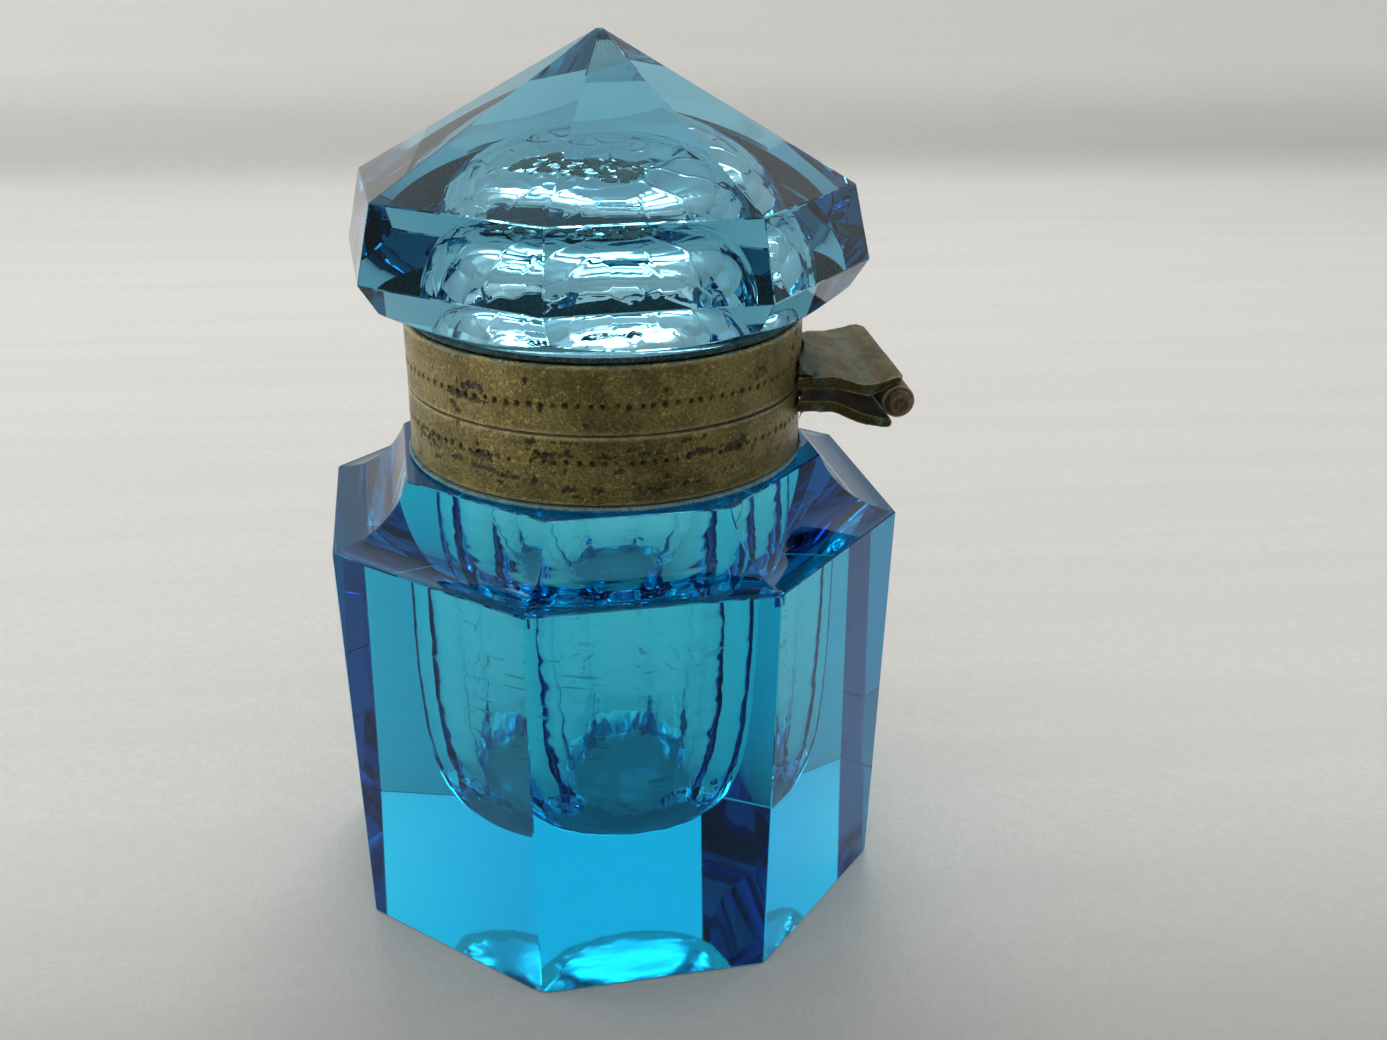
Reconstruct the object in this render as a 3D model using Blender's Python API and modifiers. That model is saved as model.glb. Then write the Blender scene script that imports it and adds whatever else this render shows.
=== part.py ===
"""Cut-glass ink bottle with a hinged glass lid and a split brass collar.

Frame: metres, +Z up, origin at the centre of the flat underside of the
bottle.  The hinge is on the +Y side and its pin lies along X.  The lid is
closed and turns about the pin; the empty "lid_hinge_axis" stands on it.
Dimensions are in millimetres and angles in degrees unless noted.
"""

import math

import bpy
import bmesh
from mathutils import Vector

MM = 0.001

# Segments of the turned pieces
FACETS = 8                  # faceted glass
ROUND = 96                  # large rings and discs
CORE_STEPS = 64             # neck and hollows
BARREL_STEPS = 48           # clearance round the hinge barrel
PIN_STEPS = 40              # pin and knuckles

# Bottle; a corner radius is measured to the corners of the octagon
BODY_ACROSS_FLATS = 50.0
BODY_R = BODY_ACROSS_FLATS / 2 / math.cos(math.pi / FACETS)  # corner radius at the shoulder
BASE_R = 26.4               # corner radius of the underside
SHOULDER_Z = 37.7           # height of the shoulder edge
BODY_TURN = 27.9            # from +X to a body corner
COVE_TOP_R = 19.9           # corner radius of the octagonal ring at the neck
COVE_TOP_Z = 42.75
COVE_SWEEP = 64.0           # angle through which the hollow shoulder turns
COVE_COUNT = 9
NECK_R = 16.2
NECK_TOP_Z = 48.6
NECK_FOOT_Z = 38.0          # buried in the body
NECK_EDGE = 0.5             # chamfer at the mouth
WELL_R = 12.4
WELL_FLOOR_Z = 8.6
WELL_CENTRE_Z = 57.4        # centre of the super-ellipse that shapes the well
HOLLOW_OVERRUN = 2.0        # how far the hollow cutters pass the open end of the glass
CUP_POWER = 6.0             # super-ellipse exponent of the well and the lid hollow
CUP_COUNT = 22

# Glass lid; points are (radius, height)
LID_TURN = 31.1             # from +X to a lid corner
APEX_Z = 79.0
GIRDLE_TOP = (21.8, 66.8)
GIRDLE_BOTTOM = (23.3, 60.5)
UNDERCUT_SLOPE = 0.645      # corner radius lost per millimetre below the girdle
UNDERCUT_END_Z = 53.9
LID_BLANK_R = 18.3          # corner radius of the faceted blank at its foot
LID_BLANK_OVERRUN = 1.0     # blank below the spigot, trimmed off by the turned shape
UNDERSIDE = ((30.0, 61.94), (17.4, 55.94))  # turned cone that ends the facets
TURNED_TOP_Z = 85.0         # above the apex
SPIGOT_R = 16.3             # round foot that sits in the upper collar
SPIGOT_Z = (50.0, 55.45)    # bottom, top
SPIGOT_EDGE = 0.4
HOLLOW_R = 13.6
HOLLOW_TOP_Z = 62.2
HOLLOW_CENTRE_Z = 2.2       # centre of the super-ellipse that shapes the hollow

# Collar rings (bottom, top) and the cement inside them
COLLAR_R = 17.75
COLLAR_WALL = 0.7
COLLAR_BORE_R = COLLAR_R - COLLAR_WALL
LOWER_COLLAR_Z = (43.35, 49.28)
UPPER_COLLAR_Z = (49.42, 55.2)
COLLAR_EDGE = 0.14          # easing of the outer edges
CEMENT_OUTER_R = COLLAR_BORE_R - 0.12
CEMENT_GLASS_GAP = 0.14
SEAT_GAP = 0.2              # clearance of leaves and solder from the collar
SEAT_R = COLLAR_R + SEAT_GAP

# Hinge; spans along X give the +X end first
PIN_Y = 25.6
PIN_Z = 48.0
PIN_R = 0.95
PIN_EDGE = 0.18
PIN_X = (8.1, -8.9)
BORE_R = 1.0
KNUCKLE_R = 1.5
KNUCKLE_EDGE = 0.12
KNUCKLES = (                # name, span along X, moves with the lid
    ("front_knuckle", (7.25, 2.6), True),
    ("middle_knuckle", (2.3, -3.1), False),
    ("rear_knuckle", (-3.4, -8.2), True),
)
BARREL_CLEAR_R = KNUCKLE_R + 0.1  # leaves stay outside this radius
BARREL_CLEAR_HALF = 14.0
LEAF_X = (7.15, -10.6)
LEAF_OUTER_Y = PIN_Y + 0.6
LEAF_INNER_Y = 12.0         # plan outline reaches this far under the collar
LEAF_CORNER_R = 2.4
LEAF_EDGE = 0.5             # chamfer of the +X outer corner
LEAF_BLANK_HALF = (LEAF_X[0] - LEAF_X[1]) / 2 + 1.0
LEAF_PLAN_HALF = 6.0        # half height of the prism that trims a leaf
LEAF_THICK = 1.12           # lower leaf at the collar
LEAF_TAPER = 0.17           # thickness it loses by its outer end
CURL_WALL = 0.75
SIDE_VIEW = (math.pi / 2, 0.0, math.pi / 2)  # local X, Y, Z to world Y, Z, X

# Side views of the leaves, (Y, Z) points of smooth lines
UPPER_LEAF_TOP = [          # outward from the collar, up to the curl
    (14.0, 50.45), (18.5, 50.48), (20.0, 50.46), (21.2, 50.1), (22.4, 49.72), (23.2, 49.74),
]
UPPER_LEAF_UNDER = [        # from the curl back to the collar
    (23.8, 48.82), (22.9, 48.6), (21.8, 48.78), (20.5, 49.1), (19.1, 49.3), (14.0, 49.3),
]
LOWER_LEAF_MIDDLE = [       # middle line, outward from the collar
    (14.0, 47.75), (18.8, 47.73), (20.2, 47.5), (21.3, 46.98),
    (22.4, 46.5), (23.6, 46.2), (24.75, 45.98),
]
PATH_STEPS = 4              # points per span of a smooth line

# Solder beads: name, foot height, width, height (negative hangs down),
# start and end angle from +X, moves with the lid
SOLDER_BEADS = (
    ("upper_solder", 50.68, 1.5, 1.8, 67.0, 106.0, True),
    ("lower_solder", 46.95, 0.9, -0.9, 71.0, 105.0, False),
)
SOLDER_STEPS = 20
SOLDER_FACE_COUNT = 6

SHARP_ANGLE = 32.0


# ---------------------------------------------------------------------- scene
def clear_scene():
    for obj in list(bpy.data.objects):
        bpy.data.objects.remove(obj, do_unlink=True)


def collection(name):
    made = bpy.data.collections.new(name)
    bpy.context.scene.collection.children.link(made)
    return made


def add_hinge_axis():
    axis = bpy.data.objects.new("lid_hinge_axis", None)
    axis.empty_display_size = 10 * MM
    axis.location = (0.0, PIN_Y * MM, PIN_Z * MM)
    parts.objects.link(axis)
    bpy.context.view_layer.update()  # its world matrix is read when pieces are parented
    return axis


def material(name, colour, roughness, metallic=0.0, transmission=0.0, ior=1.45):
    made = bpy.data.materials.new(name)
    made.use_nodes = True
    shader = made.node_tree.nodes["Principled BSDF"]
    shader.inputs["Base Color"].default_value = (*colour, 1.0)
    shader.inputs["Roughness"].default_value = roughness
    shader.inputs["Metallic"].default_value = metallic
    shader.inputs["Transmission Weight"].default_value = transmission
    shader.inputs["IOR"].default_value = ior
    made.diffuse_color = (*colour, 1.0)
    return made


clear_scene()
parts = collection("ink_bottle")
cutters = collection("cutters")
hinge_axis = add_hinge_axis()

blue_glass = material(
    "blue_glass", colour=(0.02, 0.36, 0.62), roughness=0.03, transmission=1.0, ior=1.52)
pale_glass = material(
    "pale_blue_glass", colour=(0.16, 0.55, 0.70), roughness=0.03, transmission=1.0, ior=1.52)
brass = material("aged_brass", colour=(0.34, 0.27, 0.12), roughness=0.42, metallic=1.0)
pin_brass = material("pin_brass", colour=(0.36, 0.24, 0.11), roughness=0.45, metallic=1.0)
solder = material("solder", colour=(0.33, 0.37, 0.32), roughness=0.6, metallic=0.6)
cement = material("cement", colour=(0.10, 0.22, 0.21), roughness=0.85)


# -------------------------------------------------------------------- objects
def add_object(name, data, cutter=False):
    """Links a new object among the parts, or as a hidden helper."""
    obj = bpy.data.objects.new(name, data)
    (cutters if cutter else parts).objects.link(obj)
    if cutter:
        obj.hide_render = True
        obj.display_type = "WIRE"
    return obj


def finish(obj, surface, on_lid=False):
    """Gives a part its material and shading; a lid part follows the hinge axis."""
    obj.data.materials.append(surface)
    obj.data.shade_smooth()
    obj.data.set_sharp_from_angle(angle=math.radians(SHARP_ANGLE))
    if on_lid:
        obj.parent = hinge_axis
        obj.matrix_parent_inverse = hinge_axis.matrix_world.inverted()


def lathe(name, profile, steps, cutter=False):
    """A solid turned about Z from (radius, height) points, given from the
    top centre, down the outer side, to the bottom centre."""
    mesh = bpy.data.meshes.new(name)
    mesh.from_pydata(
        [(radius * MM, 0.0, z * MM) for radius, z in profile],
        [(i, i + 1) for i in range(len(profile) - 1)],
        [],
    )
    obj = add_object(name, mesh, cutter)
    screw = obj.modifiers.new("Screw", "SCREW")
    screw.steps = screw.render_steps = steps
    screw.use_merge_vertices = True
    screw.merge_threshold = 1e-6
    screw.use_normal_calculate = False
    return obj


def ring(name, profile, steps):
    """A solid of revolution whose closed profile never meets the axis: the
    points run down the outer side and up the inner side."""
    return lathe(name, profile + [profile[0]], steps)


def outline_solid(name, outline, half_depth, cutter=False):
    """A closed flat outline in the local XY plane, thickened to both sides."""
    curve = bpy.data.curves.new(name, "CURVE")
    curve.dimensions = "2D"
    curve.fill_mode = "BOTH"
    curve.extrude = half_depth * MM
    spline = curve.splines.new("POLY")
    spline.points.add(len(outline) - 1)
    for point, (x, y) in zip(spline.points, outline):
        point.co = (x * MM, y * MM, 0.0, 1.0)
    spline.use_cyclic_u = True
    drawn = add_object(name + "_outline", curve)
    graph = bpy.context.evaluated_depsgraph_get()
    mesh = bpy.data.meshes.new_from_object(drawn.evaluated_get(graph))
    bpy.data.objects.remove(drawn, do_unlink=True)

    # The caps and the side of a filled curve come apart; weld them into a solid
    work = bmesh.new()
    work.from_mesh(mesh)
    bmesh.ops.remove_doubles(work, verts=work.verts, dist=1e-6)
    bmesh.ops.recalc_face_normals(work, faces=work.faces)
    work.to_mesh(mesh)
    work.free()
    return add_object(name, mesh, cutter)


def boolean(obj, cutter, operation):
    step = obj.modifiers.new(operation.title(), "BOOLEAN")
    step.operation = operation
    step.solver = "EXACT"
    step.object = cutter


def lay_on_pin(obj, centre_x=0.0):
    """Turns a lathed piece onto the pin line."""
    obj.rotation_euler.y = math.pi / 2
    obj.location = (centre_x * MM, PIN_Y * MM, PIN_Z * MM)


# ------------------------------------------------------------------- outlines
def arc(centre, radius, start, end, count):
    """Points on a circle, angles from the first axis."""
    points = []
    for i in range(count + 1):
        angle = math.radians(start + (end - start) * i / count)
        points.append((centre[0] + radius * math.cos(angle),
                       centre[1] + radius * math.sin(angle)))
    return points


def cylinder_profile(radius, top, bottom):
    return [(0.0, top), (radius, top), (radius, bottom), (0.0, bottom)]


def cup_profile(radius, centre_z, pole_z, mouth_z):
    """Half outline of a straight-walled hollow with a rounded end: a
    super-ellipse from its pole to the height of its mouth."""
    reach = pole_z - centre_z
    points = []
    for i in range(CUP_COUNT + 1):
        angle = i / CUP_COUNT * math.pi / 2
        height = centre_z + reach * math.cos(angle) ** (2.0 / CUP_POWER)
        if (mouth_z - height) * reach > 0:
            break
        points.append((radius * math.sin(angle) ** (2.0 / CUP_POWER), height))
    ratio = abs((mouth_z - centre_z) / reach)
    points.append((radius * (1 - ratio ** CUP_POWER) ** (1 / CUP_POWER), mouth_z))
    return points


def cove_profile():
    """Hollow shoulder from the neck ring down to the shoulder edge: one arc
    that is steep at the neck and nearly level at the edge."""
    top = Vector((COVE_TOP_R, COVE_TOP_Z))
    edge = Vector((BODY_R, SHOULDER_Z))
    chord = edge - top
    half = math.radians(COVE_SWEEP / 2)
    radius = chord.length / 2 / math.sin(half)
    outward = Vector((-chord.y, chord.x)).normalized()
    centre = (top + edge) / 2 + outward * radius * math.cos(half)
    first = math.atan2(top.y - centre.y, top.x - centre.x)
    last = math.atan2(edge.y - centre.y, edge.x - centre.x)
    if last < first:
        last += 2 * math.pi
    return arc(centre, radius, math.degrees(first), math.degrees(last), COVE_COUNT)


def smooth_path(points):
    """Catmull-Rom line through the points."""
    line = []
    for i in range(len(points) - 1):
        before = Vector(points[max(i - 1, 0)])
        start = Vector(points[i])
        end = Vector(points[i + 1])
        after = Vector(points[min(i + 2, len(points) - 1)])
        for j in range(PATH_STEPS):
            t = j / PATH_STEPS
            line.append(tuple(0.5 * (
                2 * start
                + (end - before) * t
                + (2 * before - 5 * start + 4 * end - after) * t * t
                + (3 * start - before - 3 * end + after) * t * t * t
            )))
    line.append(tuple(points[-1]))
    return line


def offset_strip(path, thickness):
    """Closed outline of a bent strip with a rounded last end.  path is its
    middle line and thickness has one value for each point."""
    upper, lower = [], []
    for i, (x, y) in enumerate(path):
        ahead = Vector(path[min(i + 1, len(path) - 1)])
        behind = Vector(path[max(i - 1, 0)])
        along = (ahead - behind).normalized()
        side = Vector((-along.y, along.x)) * thickness[i] / 2
        upper.append((x + side.x, y + side.y))
        lower.append((x - side.x, y - side.y))
    along = (Vector(path[-1]) - Vector(path[-2])).normalized()
    facing = math.degrees(math.atan2(along.y, along.x))
    end = arc(path[-1], thickness[-1] / 2, facing + 90, facing - 90, 6)[1:-1]
    return upper + end + lower[::-1]


# ---------------------------------------------------------------------- glass
def build_bottle():
    profile = [(0.0, COVE_TOP_Z)] + cove_profile() + [(BASE_R, 0.0), (0.0, 0.0)]
    body = lathe("glass_body", profile, FACETS)
    body.rotation_euler.z = math.radians(BODY_TURN)
    neck = lathe(
        "neck_post",
        [(0.0, NECK_TOP_Z), (NECK_R - NECK_EDGE, NECK_TOP_Z), (NECK_R, NECK_TOP_Z - NECK_EDGE),
         (NECK_R, NECK_FOOT_Z), (0.0, NECK_FOOT_Z)],
        CORE_STEPS, cutter=True)
    mouth_z = NECK_TOP_Z + HOLLOW_OVERRUN
    well_side = cup_profile(WELL_R, WELL_CENTRE_Z, WELL_FLOOR_Z, mouth_z)
    well = lathe("well_core", [(0.0, mouth_z)] + well_side[::-1], CORE_STEPS, cutter=True)
    boolean(body, neck, "UNION")
    boolean(body, well, "DIFFERENCE")
    finish(body, blue_glass)


def build_lid_glass():
    """A faceted blank, trimmed by a turned underside and hollowed from below."""
    spigot_bottom, spigot_top = SPIGOT_Z
    blank_z = spigot_bottom - LID_BLANK_OVERRUN
    undercut_r = GIRDLE_BOTTOM[0] - UNDERCUT_SLOPE * (GIRDLE_BOTTOM[1] - UNDERCUT_END_Z)
    lid = lathe(
        "lid_glass",
        [(0.0, APEX_Z), GIRDLE_TOP, GIRDLE_BOTTOM, (undercut_r, UNDERCUT_END_Z),
         (LID_BLANK_R, blank_z), (0.0, blank_z)],
        FACETS)
    lid.rotation_euler.z = math.radians(LID_TURN)
    turned = lathe(
        "turned_underside",
        [(0.0, TURNED_TOP_Z), (UNDERSIDE[0][0], TURNED_TOP_Z), *UNDERSIDE,
         (SPIGOT_R, spigot_top), (SPIGOT_R, spigot_bottom + SPIGOT_EDGE),
         (SPIGOT_R - SPIGOT_EDGE, spigot_bottom), (0.0, spigot_bottom)],
        ROUND, cutter=True)
    mouth_z = spigot_bottom - HOLLOW_OVERRUN
    hollow_side = cup_profile(HOLLOW_R, HOLLOW_CENTRE_Z, HOLLOW_TOP_Z, mouth_z)
    hollow = lathe("lid_core", hollow_side + [(0.0, mouth_z)], CORE_STEPS, cutter=True)
    boolean(lid, turned, "INTERSECT")
    boolean(lid, hollow, "DIFFERENCE")
    finish(lid, pale_glass, on_lid=True)


# ----------------------------------------------------------- collar and cement
def build_collar_ring(name, heights, on_lid):
    """A flat hoop with eased outer edges."""
    bottom, top = heights
    edge = COLLAR_EDGE
    profile = [
        (COLLAR_R - edge, top), (COLLAR_R - 0.3 * edge, top - 0.3 * edge),
        (COLLAR_R, top - edge), (COLLAR_R, bottom + edge),
        (COLLAR_R - 0.3 * edge, bottom + 0.3 * edge), (COLLAR_R - edge, bottom),
        (COLLAR_BORE_R, bottom), (COLLAR_BORE_R, top),
    ]
    finish(ring(name, profile, ROUND), brass, on_lid)


def build_cement():
    """Sleeves between glass and brass: the lower one spreads out below its
    collar ring, the upper one shows as a bead above its ring."""
    neck_side = NECK_R + CEMENT_GLASS_GAP
    neck_profile = [
        (CEMENT_OUTER_R, 48.3), (CEMENT_OUTER_R, 43.16), (COLLAR_R + 0.2, 43.16),
        (COLLAR_R + 0.32, 42.9), (neck_side, 42.9), (neck_side, 48.3),
    ]
    finish(ring("neck_cement", neck_profile, ROUND), cement)
    lid_side = SPIGOT_R + CEMENT_GLASS_GAP
    lid_profile = [
        (lid_side, 55.32), (17.42, 55.8), (17.54, 55.6), (17.42, 55.34),
        (CEMENT_OUTER_R, 55.34), (CEMENT_OUTER_R, 50.4), (lid_side, 50.4),
    ]
    finish(ring("lid_cement", lid_profile, ROUND), cement, on_lid=True)


# ---------------------------------------------------------------------- hinge
def leaf_plan(name):
    """Prism seen from above that trims a leaf: a straight +X side and outer
    edge, a rounded -X corner, and a -X side that narrows to the collar."""
    plus_x, minus_x = LEAF_X
    corner_centre = (minus_x + LEAF_CORNER_R, LEAF_OUTER_Y - LEAF_CORNER_R)
    outline = [
        (plus_x, LEAF_INNER_Y), (plus_x, LEAF_OUTER_Y - LEAF_EDGE),
        (plus_x - LEAF_EDGE, LEAF_OUTER_Y),
        *arc(corner_centre, LEAF_CORNER_R, 90, 180, 6),
        (minus_x + 0.1, LEAF_OUTER_Y - 3.6), (-7.9, 20.4), (-5.4, 17.6), (-5.4, LEAF_INNER_Y),
    ]
    prism = outline_solid(name, outline, LEAF_PLAN_HALF, cutter=True)
    prism.location.z = PIN_Z * MM
    return prism


def leaf(name, outline, collar_clear):
    """A plate drawn in side view (Y, Z), trimmed in plan and at the collar."""
    obj = outline_solid(name, outline, LEAF_BLANK_HALF)
    obj.rotation_euler = SIDE_VIEW
    obj.location.x = sum(LEAF_X) / 2 * MM
    boolean(obj, leaf_plan(name + "_plan"), "INTERSECT")
    boolean(obj, collar_clear, "DIFFERENCE")
    return obj


def build_upper_leaf(collar_clear):
    """Level from the collar, a shallow dip, then a curl over the barrel."""
    pin = (PIN_Y, PIN_Z)
    curl_top = arc(pin, BARREL_CLEAR_R + CURL_WALL, 124, 80, 6)
    curl_under = arc(pin, BARREL_CLEAR_R, 76, 142, 9)
    top = smooth_path(UPPER_LEAF_TOP + [curl_top[0]])
    under = smooth_path([curl_under[-1]] + UPPER_LEAF_UNDER)
    outline = top + curl_top[1:] + curl_under + under[1:]
    finish(leaf("upper_hinge_leaf", outline, collar_clear), brass, on_lid=True)


def build_lower_leaf(collar_clear):
    """An S bend that passes under the barrel and ends there."""
    path = smooth_path(LOWER_LEAF_MIDDLE)
    thickness = [LEAF_THICK - LEAF_TAPER * i / (len(path) - 1) for i in range(len(path))]
    obj = leaf("lower_hinge_leaf", offset_strip(path, thickness), collar_clear)
    barrel_clear = lathe(
        "barrel_clearance",
        cylinder_profile(BARREL_CLEAR_R, BARREL_CLEAR_HALF, -BARREL_CLEAR_HALF),
        BARREL_STEPS, cutter=True)
    lay_on_pin(barrel_clear)
    boolean(obj, barrel_clear, "DIFFERENCE")
    finish(obj, brass)


def eased_side(radius, half, edge):
    """Outer side of a rod or tube, top to bottom, with chamfered ends."""
    return [(radius - edge, half), (radius, half - edge),
            (radius, -half + edge), (radius - edge, -half)]


def build_knuckle(name, span, on_lid):
    """A tube on the pin, its bore with a running fit."""
    half = (span[0] - span[1]) / 2
    side = eased_side(KNUCKLE_R, half, KNUCKLE_EDGE)
    obj = ring(name, side + [(BORE_R, -half), (BORE_R, half)], PIN_STEPS)
    lay_on_pin(obj, sum(span) / 2)
    finish(obj, brass, on_lid)


def build_pin():
    half = (PIN_X[0] - PIN_X[1]) / 2
    side = eased_side(PIN_R, half, PIN_EDGE)
    pin = lathe("hinge_pin", [(0.0, half)] + side + [(0.0, -half)], PIN_STEPS)
    lay_on_pin(pin, sum(PIN_X) / 2)
    finish(pin, pin_brass)


def fillet_profile(foot_z, width, height):
    """Hollow-faced triangle in the corner of collar and leaf."""
    points = [(SEAT_R, foot_z)]
    for i in range(SOLDER_FACE_COUNT + 1):
        angle = math.pi / 2 * i / SOLDER_FACE_COUNT
        points.append((SEAT_R + width * (1 - math.sin(angle)),
                       foot_z + height * (1 - math.cos(angle))))
    return points


def build_solder(name, foot_z, width, height, start, end, on_lid):
    """A bead along the joint of a leaf and the collar: a turned section that
    covers only part of the circle, with closed ends."""
    mesh = bpy.data.meshes.new(name)
    work = bmesh.new()
    profile = fillet_profile(foot_z, width, height)
    section = work.faces.new(
        [work.verts.new((radius * MM, 0.0, z * MM)) for radius, z in profile])
    bmesh.ops.spin(
        work, geom=[section], cent=(0, 0, 0), axis=(0, 0, 1),
        angle=math.radians(end - start), steps=SOLDER_STEPS, use_merge=False)
    bmesh.ops.recalc_face_normals(work, faces=work.faces)
    work.to_mesh(mesh)
    work.free()
    obj = add_object(name, mesh)
    obj.rotation_euler.z = math.radians(start)
    finish(obj, solder, on_lid)


def build_hinge():
    collar_clear = lathe(
        "collar_clearance", cylinder_profile(SEAT_R, 60.0, 40.0), ROUND, cutter=True)
    build_upper_leaf(collar_clear)
    build_lower_leaf(collar_clear)
    for knuckle in KNUCKLES:
        build_knuckle(*knuckle)
    build_pin()
    for bead in SOLDER_BEADS:
        build_solder(*bead)


build_bottle()
build_lid_glass()
build_collar_ring("lower_collar", LOWER_COLLAR_Z, on_lid=False)
build_collar_ring("upper_collar", UPPER_COLLAR_Z, on_lid=True)
build_cement()
build_hinge()
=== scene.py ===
import functools
import itertools
import math

import bmesh
import bpy
import numpy as np
from mathutils import Matrix, Vector


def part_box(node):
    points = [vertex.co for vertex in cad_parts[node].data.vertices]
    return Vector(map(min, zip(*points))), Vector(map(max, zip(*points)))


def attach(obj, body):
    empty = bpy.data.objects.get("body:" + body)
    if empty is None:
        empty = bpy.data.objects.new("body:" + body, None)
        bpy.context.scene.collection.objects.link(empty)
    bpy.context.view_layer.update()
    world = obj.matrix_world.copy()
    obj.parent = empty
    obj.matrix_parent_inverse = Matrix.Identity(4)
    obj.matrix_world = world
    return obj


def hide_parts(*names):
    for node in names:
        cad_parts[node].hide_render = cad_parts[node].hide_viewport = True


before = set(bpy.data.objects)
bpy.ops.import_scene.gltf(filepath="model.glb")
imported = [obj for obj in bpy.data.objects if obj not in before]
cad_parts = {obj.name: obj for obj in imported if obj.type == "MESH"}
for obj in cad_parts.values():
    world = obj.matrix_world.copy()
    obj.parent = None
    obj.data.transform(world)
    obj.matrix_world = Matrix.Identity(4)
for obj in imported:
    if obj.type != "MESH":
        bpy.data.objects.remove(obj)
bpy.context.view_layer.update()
scene = bpy.context.scene
MM = 0.001


def box_mm(node):
    low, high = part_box(node)
    return (np.array(low) / MM).tolist(), (np.array(high) / MM).tolist()


# Sizes taken from the CAD pieces
LID_BOX = box_mm("lid_glass")
LOWER_RING_BOX = box_mm("lower_collar")
UPPER_RING_BOX = box_mm("upper_collar")
PIN_BOX = box_mm("hinge_pin")
PIN_Y = (PIN_BOX[0][1] + PIN_BOX[1][1]) / 2
PIN_Z = (PIN_BOX[0][2] + PIN_BOX[1][2]) / 2
RING_R = LOWER_RING_BOX[1][0]
NECK_TOP = box_mm("glass_body")[1][2]
APEX = LID_BOX[1][2]
SPIGOT_FOOT = LID_BOX[0][2]

# Both glasses: octagons, whose radii are taken at the corners
FACETS = 8
FACET_DEG = 360.0 / FACETS
COS_HALF, SIN_HALF = math.cos(math.pi / FACETS), math.sin(math.pi / FACETS)
BODY_TURN, LID_TURN = 27.9, 31.1  # degrees from +X to a corner
ARRIS = 0.13  # width of the flat along each corner
CREASE = 9.0  # degrees, on cut glass

# Body glass
SHOULDER_Z, SHOULDER_R, BASE_R = 37.7, 27.06, 26.4
COVE_TOP_R, COVE_TOP_Z = 19.9, 42.75
COVE_HALF_ARC = 32.0  # degrees
NECK_R = 16.2
WELL_R, WELL_CENTRE_Z, WELL_FLOOR = 12.4, 57.4, 8.6

# Lid glass
GIRDLE_TOP_R, GIRDLE_TOP_Z = 21.8, 66.8
GIRDLE_FOOT_R, GIRDLE_FOOT_Z = 23.3, 60.5
UNDERCUT = 0.645  # radius lost for each mm below the girdle
CONE_FOOT_R, CONE_FOOT_Z = 17.4, 55.94
CONE_RIM_R, CONE_RIM_Z = 30.0, 61.94
SPIGOT_R = 16.3
HOLLOW_R, HOLLOW_CENTRE_Z, HOLLOW_CROWN = 13.6, 2.2, 62.2


# ------------------------------------------------------------------- noise
@functools.cache
def noise_tables(seed):
    draw = np.random.RandomState(seed)
    order = draw.permutation(256)
    gradients = draw.normal(size=(256, 3))
    gradients /= np.linalg.norm(gradients, axis=1)[:, None]
    return np.concatenate([order] * 3), gradients


def noise3(points, seed):
    """Gradient noise, about -1 to 1. Divide the points by the size of its waves."""
    order, gradients = noise_tables(seed)
    cell = np.floor(points).astype(np.int64)
    offset = points - cell
    ease = offset * offset * offset * (offset * (offset * 6 - 15) + 10)
    total = np.zeros(len(points))
    for corner in itertools.product((0, 1), repeat=3):
        share = np.where(corner, ease, 1 - ease)
        near = (cell + corner) & 255
        pick = order[order[order[near[:, 0]] + near[:, 1]] + near[:, 2]]
        slope = np.einsum("ij,ij->i", gradients[pick], offset - corner)
        total += share[:, 0] * share[:, 1] * share[:, 2] * slope
    return total * 1.7


def fbm(points, seed, octaves=3):
    """Octaves of noise, each half as strong and half as wide as the last."""
    total = np.zeros(len(points))
    for k in range(octaves):
        total += 0.5**k * noise3(points * 2.0**k + 17.3 * k, seed + k)
    return total


def smooth(start, end, value):
    """An eased step from 0 at start to 1 at end. Start may be above end."""
    t = np.clip((value - start) / (end - start), 0, 1)
    return t * t * (3 - 2 * t)


def nearest_two(points, centres, batch=20000):
    """Distance to the nearest and second nearest centre."""
    parts = []
    for k in range(0, len(points), batch):
        gap = points[k : k + batch, None, :] - centres[None]
        parts.append(np.partition(np.sqrt((gap**2).sum(2)), 1, axis=1)[:, :2])
    return np.concatenate(parts).T


# -------------------------------------------------------------- mesh helpers
def new_object(name, points, faces, crease, soft_from=None):
    """A mesh from millimetres. Edges over the crease angle are sharp, apart
    from those that touch vertices from number soft_from on."""
    mesh = bpy.data.meshes.new(name)
    mesh.from_pydata((points * MM).tolist(), [], faces)
    work = bmesh.new()
    work.from_mesh(mesh)
    bmesh.ops.recalc_face_normals(work, faces=work.faces)
    work.to_mesh(mesh)
    work.free()
    mesh.validate()
    mesh.shade_smooth()
    mesh.set_sharp_from_angle(angle=math.radians(crease))
    if soft_from is not None:
        sharp = np.empty(len(mesh.edges), bool)
        sharp_data = mesh.attributes["sharp_edge"].data
        sharp_data.foreach_get("value", sharp)
        sharp &= edge_ends(mesh).max(1) < soft_from
        sharp_data.foreach_set("value", sharp)
    return link_new(name, mesh)


def link_new(name, data):
    obj = bpy.data.objects.new(name, data)
    scene.collection.objects.link(obj)
    return obj


def edge_ends(mesh):
    ends = np.empty(len(mesh.edges) * 2, np.int64)
    mesh.edges.foreach_get("vertices", ends)
    return ends.reshape(-1, 2)


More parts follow.
